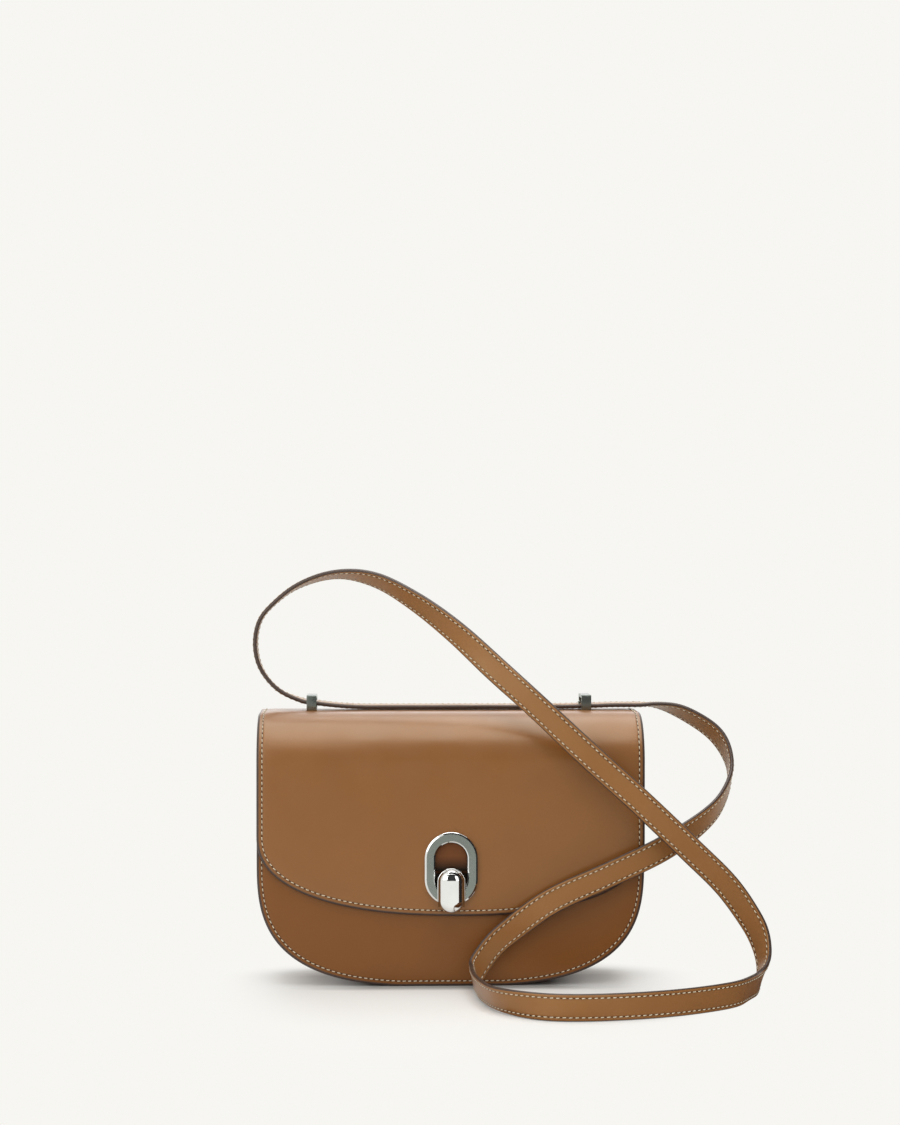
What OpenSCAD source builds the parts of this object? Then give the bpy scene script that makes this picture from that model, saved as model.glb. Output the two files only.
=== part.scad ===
// Saddle handbag: a flat-based leather shell with a rounded flap, a ring clasp
// with a hinged capsule, two metal strap loops and one closed shoulder strap.
// Millimetres. The origin is the middle of the base on the floor, the front
// faces -Y and +Z is up.

/* [Bag] */
// Width across the front panel
bag_w = 220; // [190:1:250]
// Height of the leather above the floor
bag_h = 154; // [140:1:175]
// Depth between the outer faces of the front and back panels
bag_d = 60; // [54:1:72]
// Height at which the sides become straight
shoulder_h = 73; // [62:1:88]
// How far the round bottom is cut to give a flat base
base_cut = 0.5; // [0.3:0.1:1.2]
// Thickness of the shell leather
leather_t = 2; // [1.6:0.1:2.4]
// Thickness of the gusset leather
gusset_t = 1.8; // [1.4:0.1:2.2]
// Thickness of the boards inside the panels
board_t = 1.2; // [1:0.1:1.6]
// Thickness of the lining
lining_t = 0.8; // [0.6:0.1:1]
// Thickness of the board that carries the strap loops
top_board_t = 3; // [2.4:0.1:4]
// Outer radius of the top edge at the back
back_r = 8; // [7:0.5:9]
// Length of the yoke's tail down the back
tail_l = 30; // [20:1:40]
// Width of the slip pocket
pocket_w = 120; // [90:1:140]
// Height of the slip pocket
pocket_h = 62; // [50:1:70]
// Thickness of the slip pocket
pocket_t = 1; // [0.8:0.1:1.4]

/* [Flap] */
// Thickness of the flap's outer leather
flap_leather_t = 1.3; // [1:0.1:1.6]
// Thickness of the flap's board
flap_board_t = 1; // [0.8:0.1:1.3]
// Thickness of the flap's lining
flap_lining_t = 0.7; // [0.5:0.1:1]
// Outer radius of the flap's front fold
fold_r = 27; // [24:0.5:29]
// Height at which the flap's sides start to curve in
flap_shoulder_h = 84; // [80:1:95]
// Height of the flap's lowest point
flap_tip_h = 40; // [37:1:43]
// Margin of bare leather round the flap's board
board_margin = 6; // [4:0.5:9]

/* [Clasp] */
// Width of the clasp ring
ring_w = 29.9; // [27:0.1:32]
// Height of the clasp ring
ring_h = 41.4; // [40:0.1:44]
// Width of the ring's band
ring_band = 6; // [5.5:0.1:6.4]
// Thickness of the clasp ring
ring_t = 3.2; // [3:0.1:3.6]
// Chamfer along the ring's front edges
ring_chamfer = 0.7; // [0.4:0.1:0.9]
// Height of the ring's centre
ring_z = 67.1; // [65:0.1:68]
// Radius of the studs that hold the ring
stud_r = 0.8; // [0.6:0.1:1]
// Radius of the capsule's pin
pin_r = 0.8; // [0.6:0.1:0.9]
// How far the pin goes into each side of the ring
pin_seat = 2.4; // [1.5:0.1:3]
// Radius of the capsule's barrel
barrel_r = 2.2; // [1.8:0.1:2.3]
// Width of the capsule's back plate
plate_w = 15.9; // [14.5:0.1:16.2]
// Thickness of the capsule's back plate
plate_t = 1.6; // [1.2:0.1:2]
// Length of the capsule's back plate below the pin
plate_l = 16.7; // [15:0.1:18]
// Width of the capsule's front
capsule_w = 13.2; // [11.5:0.1:14]
// Length of the capsule's front below the pin
capsule_l = 22.5; // [20:0.1:24]
// How far the rim of the capsule's plate stands above the barrel
hood_rim = 0.4; // [0.3:0.1:0.5]
// How far the capsule's front stands out from its plate
capsule_t = 2.6; // [2:0.1:3.2]
// Radius of the closing magnet
magnet_r = 9; // [7:0.5:11]

/* [Strap] */
// Width of the strap
strap_w = 14.5; // [12:0.1:16]
// Thickness of the strap
strap_t = 2.4; // [2:0.1:2.8]
// Width of a strap loop along the strap
loop_w = 5.7; // [5:0.1:7]
// Thickness of a loop's legs
leg_t = 2; // [1.8:0.1:2.4]
// Thickness of a loop's foot
foot_t = 0.8; // [0.6:0.1:1]
// Thickness of a loop's top bar
bar_t = 1.8; // [1.5:0.1:2.2]
// Height of the space inside a loop
loop_h = 6.2; // [5.5:0.1:7]
// Radius of the bosses under a loop
boss_r = 2; // [1.7:0.1:2.2]
// Radius of the loop screws
screw_r = 1; // [0.8:0.1:1.1]
// Radius of the heads of the loop screws
head_r = 2.2; // [1.8:0.1:2.6]
// Thickness of the heads of the loop screws
head_t = 1; // [0.8:0.1:1.2]
// Thickness of the plates under the loops
backplate_t = 1.2; // [1:0.1:1.5]
// Radius of the stop stud on the strap
stop_r = 0.8; // [0.6:0.1:1.2]
// Height of the stop stud
stop_h = 1.8; // [1.4:0.1:2.4]

/* [Hidden] */

tan_leather = [0.55, 0.37, 0.22];
brown_leather = [0.45, 0.29, 0.18];
dark_leather = [0.36, 0.21, 0.13];
strap_leather = [0.59, 0.42, 0.27];
lining_cloth = [0.76, 0.69, 0.58];
board_grey = [0.6, 0.56, 0.5];
satin_steel = [0.49, 0.52, 0.5];
bright_steel = [0.85, 0.86, 0.86];

$fn = 64;
overrun = 1;
fit_gap = 0.02;
pin_gap = 0.05;
seat_gap = 0.1;
run_gap = 0.3;
hinge_gap = 0.3;
under_flap_gap = 0.5;
lip_drop = 1;
yoke_inset = 1;
outline_steps = 14;
body_power_share = 3;
flap_power_share = 2.35;
loop_x_share = 0.727;
loop_y_share = 0.233;
run_end_share = 1.02;
pocket_foot_share = 0.32;
strap_gap = 0.2;
loop_side_gap = 0.75;
run_overhang = 3;
backplate_side = 2.2;
screw_thread_l = 4;
boss_floor = 0.5;
stop_y_share = 0.36;
pin_rise_share = -0.066;
crown_share = 0.9;

half_w = bag_w / 2;
front_y = -bag_d / 2;
back_y = bag_d / 2;
wall_t = leather_t + board_t + lining_t;
flap_t = flap_leather_t + flap_board_t + flap_lining_t;
flap_y = front_y - run_gap - flap_t;
fold_y = flap_y + fold_r;
fold_z = bag_h - fold_r;
front_h = fold_z - lip_drop;
yoke_out_y = back_y + leather_t;
corner_y = yoke_out_y - back_r;
corner_z = bag_h - back_r;
under_yoke_z = bag_h - leather_t;
board_z = under_yoke_z - top_board_t;
top_lining_z = board_z - lining_t;
loop_x = loop_x_share * half_w;
loop_y = loop_y_share * bag_d;
opening_w = strap_w + 2 * loop_side_gap;
loop_d = opening_w + 2 * leg_t;
leg_y = opening_w / 2 + leg_t / 2;
run_z = bag_h + foot_t + strap_gap + strap_t / 2;
run_left = loop_x + loop_w / 2 + run_overhang;
run_right = run_end_share * half_w;
floor_z = strap_w / 2 + strap_gap;
window_w = ring_w - 2 * ring_band;
window_h = ring_h - 2 * ring_band;
inlay_t = flap_leather_t / 2;
pin_y = flap_y - ring_t / 2;
pin_z = ring_z + pin_rise_share * window_h;
capsule_y = flap_y - ring_t - run_gap;

// Points of a rounded lower rim, from its lowest point up to the right side.
function rim(hw, centre_z, drop, power, from_angle) =
    [for (i = [0:outline_steps])
        let (a = from_angle + (90 - from_angle) * i / outline_steps)
        [hw * pow(sin(a), 2 / power), centre_z - drop * pow(cos(a), 2 / power)]];

function mirrored(points) =
    [for (i = [len(points) - 1:-1:0]) [-points[i][0], points[i][1]]];

function flat_angle(inset) =
    acos(pow((shoulder_h - inset) / (shoulder_h + base_cut - inset), body_power_share / 2));

// Front view of the bag's body, drawn in by an inset and cut off at a height.
module body_outline(inset, top) {
    right = rim(half_w - inset, shoulder_h, shoulder_h + base_cut - inset,
                body_power_share, flat_angle(inset));
    polygon(concat(mirrored(right), right, [[half_w - inset, top], [inset - half_w, top]]));
}

// Front view of the flap, drawn in by an inset.
module flap_outline(inset) {
    right = rim(half_w - inset, flap_shoulder_h, flap_shoulder_h - flap_tip_h - inset,
                flap_power_share, 0);
    left = [for (i = [len(right) - 1:-1:1]) [-right[i][0], right[i][1]]];
    top = bag_h + overrun;
    polygon(concat(left, right, [[half_w - inset, top], [inset - half_w, top]]));
}

// Upright plate with a front-view shape, from one depth to a deeper one.
module upright(from_y, thickness) {
    translate([0, from_y + thickness, 0]) rotate([90, 0, 0])
        linear_extrude(thickness) children();
}

// Side-view shape (depth, height) drawn out across the width.
module across(width) {
    translate([-width / 2, 0, 0]) rotate([90, 0, 90])
        linear_extrude(width) children();
}

// Side view of one layer of the flap, between two depths below its surface.
module flap_layer(outer, inner) {
    translate([flap_y + outer, 0])
        square([inner - outer, fold_z]);
    translate([fold_y, fold_z]) intersection() {
        difference() {
            circle(fold_r - outer, $fn = 128);
            circle(fold_r - inner, $fn = 128);
        }
        translate([-fold_r, 0]) square(fold_r);
    }
    translate([fold_y, bag_h - inner])
        square([-fold_y - hinge_gap / 2, inner - outer]);
}

// Side view of the space below the flap and the yoke.
module under_top(gap) {
    inner_r = fold_r - flap_t - gap;
    translate([fold_y - inner_r, 0]) square([inner_r, fold_z]);
    translate([fold_y, fold_z]) intersection() {
        circle(inner_r, $fn = 128);
        translate([-inner_r, 0]) square(inner_r);
    }
    translate([fold_y, 0]) square([-fold_y, fold_z + inner_r]);
    square([corner_y, under_yoke_z]);
    translate([corner_y, 0]) square([yoke_out_y - leather_t - corner_y, corner_z]);
    translate([corner_y, corner_z]) intersection() {
        circle(back_r - leather_t);
        square(back_r);
    }
}

module stadium(width, height) {
    straight = height - width;
    square([width, straight], center = true);
    for (side = [-1, 1]) translate([0, side * straight / 2]) circle(width / 2);
}

module front_panel() {
    color(brown_leather) upright(front_y, leather_t) body_outline(0, front_h);
}

module front_board() {
    color(board_grey) upright(front_y + leather_t, board_t) difference() {
        body_outline(gusset_t, front_h);
        translate([0, ring_z]) circle(magnet_r + seat_gap);
    }
}

module front_lining() {
    color(lining_cloth) upright(front_y + leather_t + board_t, lining_t)
        body_outline(gusset_t, front_h);
}

module closing_magnet() {
    color(bright_steel) upright(front_y + leather_t, board_t)
        translate([0, ring_z]) circle(magnet_r);
}

module back_panel() {
    color(brown_leather) upright(back_y - leather_t, leather_t) body_outline(0, corner_z);
}

module back_board() {
    color(board_grey) upright(back_y - leather_t - board_t, board_t)
        body_outline(gusset_t, corner_z);
}

module back_lining() {
    color(lining_cloth) upright(back_y - wall_t, lining_t) body_outline(gusset_t, corner_z);
}

module slip_pocket() {
    foot = pocket_foot_share * bag_h;
    color(dark_leather) upright(back_y - wall_t - pocket_t, pocket_t)
        translate([-pocket_w / 2, foot]) square([pocket_w, pocket_h]);
}

module gusset() {
    color(brown_leather) intersection() {
        upright(front_y + leather_t, bag_d - 2 * leather_t) difference() {
            body_outline(0, bag_h);
            body_outline(gusset_t, bag_h + overrun);
        }
        across(bag_w + overrun) under_top(under_flap_gap);
    }
}

module gusset_lining() {
    color(lining_cloth) intersection() {
        upright(front_y + wall_t, bag_d - 2 * wall_t) difference() {
            body_outline(gusset_t, corner_z);
            body_outline(gusset_t + lining_t, bag_h);
        }
        across(bag_w) under_top(under_flap_gap);
    }
}

module loop_holes(radius, from_z, length) {
    for (side = [-1, 1], leg = [-1, 1])
        translate([side * loop_x, loop_y + leg * leg_y, from_z]) cylinder(length, r = radius);
}

module top_yoke() {
    color(tan_leather) difference() {
        across(bag_w) {
            translate([hinge_gap / 2, under_yoke_z])
                square([corner_y - hinge_gap / 2, leather_t]);
            translate([corner_y, corner_z]) intersection() {
                difference() {
                    circle(back_r);
                    circle(back_r - leather_t);
                }
                square(back_r);
            }
            translate([back_y, corner_z - tail_l]) square([leather_t, tail_l]);
        }
        loop_holes(boss_r + pin_gap, board_z, top_board_t + leather_t + overrun);
    }
}

module top_board() {
    color(board_grey) difference() {
        across(bag_w - 2 * gusset_t) {
            translate([yoke_inset, board_z]) square([corner_y - yoke_inset, top_board_t]);
            intersection() {
                translate([corner_y, corner_z]) circle(back_r - leather_t);
                translate([corner_y, board_z]) square([back_r, top_board_t]);
            }
        }
        loop_holes(boss_r + pin_gap, top_lining_z, top_board_t + leather_t + overrun);
    }
}

module top_lining() {
    color(lining_cloth) difference() {
        across(bag_w - 2 * gusset_t)
            translate([yoke_inset, top_lining_z]) square([corner_y - yoke_inset, lining_t]);
        loop_holes(screw_r + seat_gap, top_lining_z - overrun, lining_t + 2 * overrun);
    }
}

module flap_leather() {
    color(tan_leather) difference() {
        intersection() {
            across(bag_w + overrun) flap_layer(0, flap_leather_t);
            upright(flap_y - overrun, bag_d + overrun) flap_outline(0);
        }
        upright(flap_y - overrun, flap_leather_t + 2 * overrun)
            translate([0, ring_z]) stadium(window_w, window_h);
        ring_stud_holes(flap_y - overrun, flap_leather_t + 2 * overrun);
    }
}

module flap_board() {
    color(board_grey) difference() {
        intersection() {
            across(bag_w) flap_layer(flap_leather_t, flap_leather_t + flap_board_t);
            upright(flap_y - overrun, bag_d + overrun) flap_outline(board_margin);
        }
        upright(flap_y, flap_t)
            translate([0, ring_z]) stadium(backplate_w() + 2 * seat_gap, backplate_h() + 2 * seat_gap);
    }
}

module flap_lining() {
    color(lining_cloth) intersection() {
        across(bag_w + overrun) flap_layer(flap_leather_t + flap_board_t, flap_t);
        upright(flap_y - overrun, bag_d + overrun) flap_outline(0);
    }
}

module window_inlay() {
    color(dark_leather) upright(flap_y + flap_leather_t - inlay_t, inlay_t)
        translate([0, ring_z]) stadium(window_w - 2 * fit_gap, window_h - 2 * fit_gap);
}

function backplate_w() = ring_w - ring_chamfer * 2;
function backplate_h() = ring_h - ring_chamfer * 2;

// Cross-section of the ring's band: its height stands out from the flap.
module ring_section() {
    inner = window_w / 2;
    outer = ring_w / 2;
    polygon([[inner, 0], [outer, 0], [outer, ring_t - ring_chamfer],
             [outer - ring_chamfer, ring_t], [inner + ring_chamfer, ring_t],
             [inner, ring_t - ring_chamfer]]);
}

module ring_studs(radius, from_y, length) {
    x = (window_w + ring_band) / 2;
    z = (window_h + ring_band) / 2;
    for (p = [[x, 0], [-x, 0], [0, z], [0, -z]])
        translate([p[0], from_y + length, ring_z + p[1]])
            rotate([90, 0, 0]) cylinder(length, r = radius);
}

module ring_stud_holes(from_y, length) {
    ring_studs(stud_r + pin_gap, from_y, length);
}

module clasp_ring() {
    straight = ring_h - ring_w;
    color(satin_steel) difference() {
        union() {
            translate([0, flap_y, ring_z]) {
                for (side = [0, 180]) rotate([0, side, 0])
                    translate([0, 0, straight / 2]) rotate([90, 0, 0])
                        rotate_extrude(angle = 180, $fn = 96) ring_section();
                for (side = [0, 180]) rotate([0, side, 0])
                    translate([0, 0, -straight / 2]) linear_extrude(straight)
                        mirror([0, 1]) ring_section();
            }
            ring_studs(stud_r, flap_y, flap_leather_t + flap_board_t);
        }
        pin_bore(pin_r + fit_gap, window_w + 2 * pin_seat + 2 * fit_gap);
    }
}

module pin_bore(radius, length) {
    translate([-length / 2, pin_y, pin_z]) rotate([0, 90, 0]) cylinder(length, r = radius);
}

module ring_backplate() {
    color(bright_steel) difference() {
        upright(flap_y + flap_leather_t, flap_board_t)
            translate([0, ring_z]) stadium(backplate_w(), backplate_h());
        ring_stud_holes(flap_y, flap_t);
    }
}

module capsule_pin() {
    color(bright_steel) pin_bore(pin_r, window_w + 2 * pin_seat);
}

// Front view of the capsule's plate, round at its top and square at its foot.
module plate_front() {
    side = plate_w / 2;
    top = pin_z + barrel_r + hood_rim;
    foot = pin_z - plate_l;
    translate([0, top - side]) circle(side);
    translate([-side, foot]) square([plate_w, top - side - foot]);
}

// Front view of the capsule itself, round at both ends.
module capsule_front() {
    side = capsule_w / 2;
    top = pin_z + barrel_r - hood_rim;
    foot = pin_z - capsule_l;
    for (end_z = [foot + side, top - side]) translate([0, end_z]) circle(side);
    translate([-side, foot + side]) square([capsule_w, top - foot - capsule_w]);
}

module capsule() {
    crown_r = crown_share * capsule_w;
    color(bright_steel) difference() {
        union() {
            intersection() {
                union() {
                    pin_bore(barrel_r, plate_w);
                    upright(capsule_y - plate_t, plate_t) plate_front();
                }
                upright(capsule_y - plate_t, ring_t + plate_t) plate_front();
            }
            intersection() {
                upright(capsule_y - plate_t - capsule_t, plate_t + capsule_t) capsule_front();
                translate([0, capsule_y - plate_t - capsule_t + crown_r, 0])
                    cylinder(bag_h, r = crown_r);
            }
        }
        pin_bore(pin_r + pin_gap, plate_w + overrun);
    }
}

module strap_loop(side) {
    translate([side * loop_x, loop_y, bag_h]) {
        difference() {
            translate([-loop_w / 2, -loop_d / 2, 0])
                cube([loop_w, loop_d, foot_t + loop_h + bar_t]);
            translate([-loop_w / 2 - overrun, -opening_w / 2, foot_t])
                cube([loop_w + 2 * overrun, opening_w, loop_h]);
        }
        for (leg = [-1, 1]) translate([0, leg * leg_y, board_z - bag_h]) difference() {
            cylinder(bag_h - board_z, r = boss_r);
            translate([0, 0, -overrun])
                cylinder(screw_thread_l + boss_floor + overrun, r = screw_r + fit_gap);
        }
    }
}

module left_strap_loop() { color(satin_steel) strap_loop(-1); }

module right_strap_loop() { color(satin_steel) strap_loop(1); }

module loop_backplate(side) {
    plate_x = loop_w + 2 * backplate_side;
    plate_y = loop_d + 2 * backplate_side;
    difference() {
        translate([side * loop_x - plate_x / 2, loop_y - plate_y / 2, top_lining_z - backplate_t])
            cube([plate_x, plate_y, backplate_t]);
        loop_holes(screw_r + seat_gap, top_lining_z - backplate_t - overrun,
                   backplate_t + 2 * overrun);
    }
}

module left_loop_backplate() { color(satin_steel) loop_backplate(-1); }

module right_loop_backplate() { color(satin_steel) loop_backplate(1); }

module loop_screws() {
    seat_z = top_lining_z - backplate_t;
    color(satin_steel) {
        loop_holes(head_r, seat_z - head_t, head_t);
        loop_holes(screw_r, seat_z - head_t, head_t + board_z - seat_z + screw_thread_l);
    }
}

module strap_top_run() {
    color(strap_leather)
        translate([-run_left, loop_y - strap_w / 2, run_z - strap_t / 2])
            cube([run_left + run_right, strap_w, strap_t]);
}

module strap_stop_stud() {
    x = loop_x - loop_w / 2 - strap_gap - stop_r;
    y = loop_y - stop_y_share * strap_w;
    color(satin_steel) translate([x, y, run_z + strap_t / 2]) cylinder(stop_h, r = stop_r);
}

// The strap's way round, from the left loop over the arch, down across the
// front, round on the floor and back up to the right. Each row holds the place
// of the strap's middle, as shares of half the bag's width, of the bag's depth
// in front of the loops, and of the height from the floor to the loops, and
// then the direction from the strap's front edge to its back edge.
strap_route_share = [
    [-0.8964, 0.0002, 1.0579, 0, 1, -0.1],
    [-0.9745, -0.0002, 1.1179, 0, 1, -0.1],
    [-1.0138, 0.0098, 1.1791, 0, 1, -0.05],
    [-1.0263, 0.0099, 1.25, 0, 1, 0],
    [-1.0125, 0.0201, 1.3144, 0, 1, 0],
    [-0.9715, 0.0299, 1.371, 0, 1, 0],
    [-0.8197, 0.05, 1.4646, 0, 1, -0.1],
    [-0.6105, 0.09, 1.5154, 0.17, 0.955, -0.244],
    [-0.3949, 0.1803, 1.496, 0.059, 0.803, -0.593],
    [-0.1837, 0.3404, 1.4124, -0.198, 0.632, -0.749],
    [0.0261, 0.5303, 1.2956, -0.461, 0.403, -0.791],
    [0.2279, 0.7149, 1.1583, -0.636, 0.127, -0.761],
    [0.4374, 0.8849, 1.0179, -0.618, 0.235, -0.75],
    [0.7266, 0.9998, 0.8173, -0.676, 0.025, -0.737],
    [0.9609, 1.05, 0.6607, -0.692, 0, -0.722],
    [1.2135, 1.0702, 0.4827, -0.694, 0.002, -0.72],
    [1.4039, 1.0502, 0.3424, -0.764, 0.097, -0.637],
    [1.5354, 1.0303, 0.2024, -0.787, 0.433, -0.439],
    [1.5739, 1.0399, 0.1298, -0.646, 0.717, -0.26],
    [1.5862, 1.0798, 0.0648, -0.357, 0.831, -0.426],
    [1.5661, 1.1776, 0.02, -0.228, 0.607, -0.761],
    [1.5396, 1.3088, 0.002, -0.17, 0.12, -0.98],
    [1.4771, 1.5689, 0.001, -0.18, 0.1, -0.98],
    [1.3513, 1.9153, 0, -0.04, 0.03, -1],
    [1.0528, 2.2611, 0, 0, 0, -1],
    [0.6954, 2.4411, 0, 0, 0, -1],
    [0.4153, 2.4006, 0, 0, -0.001, -1],
    [0.2089, 2.0636, 0.001, 0.27, 0.158, -0.95],
    [0.1316, 1.5962, 0.003, 0.264, 0.059, -0.963],
    [0.1128, 1.2158, 0.004, 0.246, 0.005, -0.969],
    [0.1135, 1.006, 0.007, 0.255, 0.315, -0.914],
    [0.1412, 0.8765, 0.0404, 0.717, 0.39, -0.578],
    [0.2098, 0.8633, 0.1075, 0.688, 0.295, -0.663],
    [0.2789, 0.8699, 0.1558, 0.588, 0.189, -0.786],
    [0.5033, 0.8802, 0.2759, 0.493, -0.14, -0.859],
    [0.812, 0.8901, 0.3816, 0.41, 0.078, -0.909],
    [1.0912, 0.8495, 0.4775, 0.402, 0.18, -0.898],
    [1.319, 0.6294, 0.5738, 0.252, 0.5, -0.829],
    [1.4328, 0.4496, 0.6573, 0.14, 0.739, -0.659],
    [1.4839, 0.2702, 0.7654, -0.016, 0.871, -0.491],
    [1.4234, 0.1302, 0.8823, -0.257, 0.795, -0.549],
    [1.2612, 0.0501, 0.9668, -0.099, 0.836, -0.539],
    [1.12, 0.01, 0.995, -0.1, 1, -0.2]
];
strap_steps = 2;

function route_place(row) =
    [row[0] * half_w, loop_y - row[1] * bag_d, floor_z + row[2] * (run_z - floor_z)];

function route_rows() = concat(
    [[-run_left, loop_y, run_z, 0, 1, 0]],
    [for (r = strap_route_share) concat(route_place(r), [r[3], r[4], r[5]])],
    [[run_right, loop_y, run_z, 0, 1, 0]]);

// One value between b and c on a smooth curve through a, b, c and d.
function between(a, b, c, d, t) =
    b + (c - a) * t / 2 + (2 * a - 5 * b + 4 * c - d) * t * t / 2
    + (3 * b - a - 3 * c + d) * t * t * t / 2;

function smooth_rows(rows, steps) =
    let (last = len(rows) - 1)
    concat([for (i = [0:last - 1], k = [0:steps - 1])
        between(rows[max(i - 1, 0)], rows[i], rows[i + 1], rows[min(i + 2, last)], k / steps)],
        [rows[last]]);

function head3(v) = [v[0], v[1], v[2]];
function unit(v) = v / norm(v);

// The four corners of the strap's section at each row of its way round.
function strap_rings(rows) =
    let (last = len(rows) - 1)
    [for (i = [0:last])
        let (middle = head3(rows[i]),
             run = i == 0 || i == last ? [-1, 0, 0]
                 : unit(head3(rows[i + 1]) - head3(rows[i - 1])),
             raw = [rows[i][3], rows[i][4], rows[i][5]],
             side = unit(raw - run * (raw * run)) * strap_w / 2,
             up = unit(cross(run, side)) * strap_t / 2)
        [middle - side - up, middle + side - up, middle + side + up, middle - side + up]];

module strap() {
    rings = strap_rings(smooth_rows(route_rows(), strap_steps));
    count = len(rings);
    points = [for (r = rings, p = r) p];
    sides = [for (i = [0:count - 2], k = [0:3])
        let (a = 4 * i + k, b = 4 * i + (k + 1) % 4)
        each [[a, a + 4, b + 4], [a, b + 4, b]]];
    ends = [[0, 1, 2], [0, 2, 3],
            [4 * count - 2, 4 * count - 3, 4 * count - 4],
            [4 * count - 1, 4 * count - 2, 4 * count - 4]];
    color(strap_leather) polyhedron(points, concat(sides, ends));
}

front_panel();
front_board();
front_lining();
closing_magnet();
back_panel();
back_board();
back_lining();
slip_pocket();
gusset();
gusset_lining();
top_yoke();
top_board();
top_lining();
flap_leather();
flap_board();
flap_lining();
window_inlay();
clasp_ring();
ring_backplate();
capsule_pin();
capsule();
left_strap_loop();
right_strap_loop();
left_loop_backplate();
right_loop_backplate();
loop_screws();
strap_top_run();
strap();
strap_stop_stud();
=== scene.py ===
import bpy
import math
import numpy as np
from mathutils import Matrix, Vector


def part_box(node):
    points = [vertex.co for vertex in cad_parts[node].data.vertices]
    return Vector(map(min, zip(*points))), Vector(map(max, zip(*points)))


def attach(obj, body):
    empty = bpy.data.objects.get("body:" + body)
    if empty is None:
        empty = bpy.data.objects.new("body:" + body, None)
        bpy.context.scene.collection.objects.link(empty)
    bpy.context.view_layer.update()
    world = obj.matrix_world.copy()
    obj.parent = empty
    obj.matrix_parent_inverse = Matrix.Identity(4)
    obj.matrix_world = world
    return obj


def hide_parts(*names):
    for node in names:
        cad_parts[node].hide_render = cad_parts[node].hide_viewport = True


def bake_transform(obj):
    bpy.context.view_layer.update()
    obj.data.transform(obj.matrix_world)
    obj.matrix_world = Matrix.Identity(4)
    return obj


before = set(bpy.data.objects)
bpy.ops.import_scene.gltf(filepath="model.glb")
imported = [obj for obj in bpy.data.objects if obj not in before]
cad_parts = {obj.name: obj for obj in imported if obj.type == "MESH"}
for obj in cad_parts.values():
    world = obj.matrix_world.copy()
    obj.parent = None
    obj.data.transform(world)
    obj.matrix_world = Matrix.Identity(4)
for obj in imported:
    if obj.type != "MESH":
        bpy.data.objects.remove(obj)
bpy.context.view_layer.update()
scene = bpy.context.scene
scene.view_settings.view_transform = "Standard"
MM = 0.001


def linked(name, data):
    obj = bpy.data.objects.new(name, data)
    scene.collection.objects.link(obj)
    return obj


# The camera of the photograph, level and turned a little to the right.
lens = bpy.data.cameras.new("camera")
lens.lens, lens.sensor_width = 73.0, 36.0
camera = linked("camera", lens)
camera.location = (-0.040, -1.322, 0.240)
camera.rotation_euler = (math.pi / 2, 0.0, -0.0305)
scene.camera = camera


# Sizes are in millimetres. Those that a solid of the frame shows come from its box.
def spans(node):
    """The ranges in x, y and z of a node of the frame."""
    return [(round(a / MM, 2), round(b / MM, 2)) for a, b in zip(*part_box(node))]


def length(span):
    return round(span[1] - span[0], 2)


def middle(span):
    return round((span[0] + span[1]) / 2, 2)


(_, HALF_W), (FRONT_Y, _), (_, FRONT_TOP) = spans("front_panel")
_, (_, BACK_Y), (_, BACK_TOP) = spans("back_panel")
_, (FLAP_Y, _), (FLAP_TIP, BAG_H) = spans("flap_leather")
_, (_, YOKE_Y), (TAIL_FOOT, _) = spans("top_yoke")
(RUN_LEFT, RUN_RIGHT), run_y_span, run_z_span = spans("strap_top_run")
STRAP_W, STRAP_T, RUN_Z = length(run_y_span), length(run_z_span), middle(run_z_span)
BODY_POWER, SHOULDER, BASE_CUT = 3.0, 73.0, 0.5
FLAP_POWER, FLAP_MID, FLAP_T, FOLD_R = 2.35, 84.0, 3.0, 27.0
FOLD_Y, FOLD_Z = FLAP_Y + FOLD_R, BAG_H - FOLD_R
YOKE_T, CORNER_R = 2.0, 8.0
CORNER_Y = YOKE_Y - CORNER_R
TAIL = BAG_H - CORNER_R - TAIL_FOOT


# Materials. Texture scales are in cycles per metre, bump distances in metres.
def srgb(r, g, b):
    def one(c):
        c /= 255.0
        return c / 12.92 if c <= 0.04045 else ((c + 0.055) / 1.055) ** 2.4
    return (one(r), one(g), one(b), 1.0)


def shade(colour, share):
    """The colour with its light times a share, at most full."""
    return tuple(min(1.0, c * share) for c in colour[:3]) + (1.0,)


def put(tree, node, values):
    """Set a node's inputs, each to a value or by a link from another node."""
    for key, value in values.items():
        if isinstance(value, bpy.types.NodeSocket):
            tree.links.new(value, node.inputs[key])
        else:
            node.inputs[key].default_value = value
    return node


def add(tree, kind, values, **settings):
    """A new shader node of a kind, with its settings and inputs."""
    node = tree.nodes.new("ShaderNode" + kind)
    for key, value in settings.items():
        setattr(node, key, value)
    return put(tree, node, values)


def start_material(name):
    mat = bpy.data.materials.new(name)
    mat.use_nodes = True
    tree = mat.node_tree
    where = add(tree, "TexCoord", {}).outputs["Object"]
    return mat, tree, tree.nodes["Principled BSDF"], where


def noise(tree, where, scale, detail=2.0):
    return add(tree, "TexNoise", {"Vector": where, "Scale": scale, "Detail": detail}).outputs["Fac"]


def spread(tree, value, low, high, lo_in=0.3, hi_in=0.7):
    values = {"Value": value, "From Min": lo_in, "From Max": hi_in, "To Min": low, "To Max": high}
    return add(tree, "MapRange", values).outputs["Result"]


# A mix node has its sockets once for each kind of data. These are those for colours.
MIX_FACTOR, MIX_A, MIX_B, MIX_RESULT = 0, 6, 7, 2


def mix(tree, a, b, factor):
    values = {MIX_FACTOR: factor, MIX_A: a, MIX_B: b}
    return add(tree, "Mix", values, data_type="RGBA").outputs[MIX_RESULT]


def add_bump(tree, shader, heights):
    normal = None
    for height, strength, distance in heights:
        values = {"Strength": strength, "Distance": distance, "Height": height}
        if normal is not None:
            values["Normal"] = normal
        normal = add(tree, "Bump", values).outputs["Normal"]
    put(tree, shader, {"Normal": normal})


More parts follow.
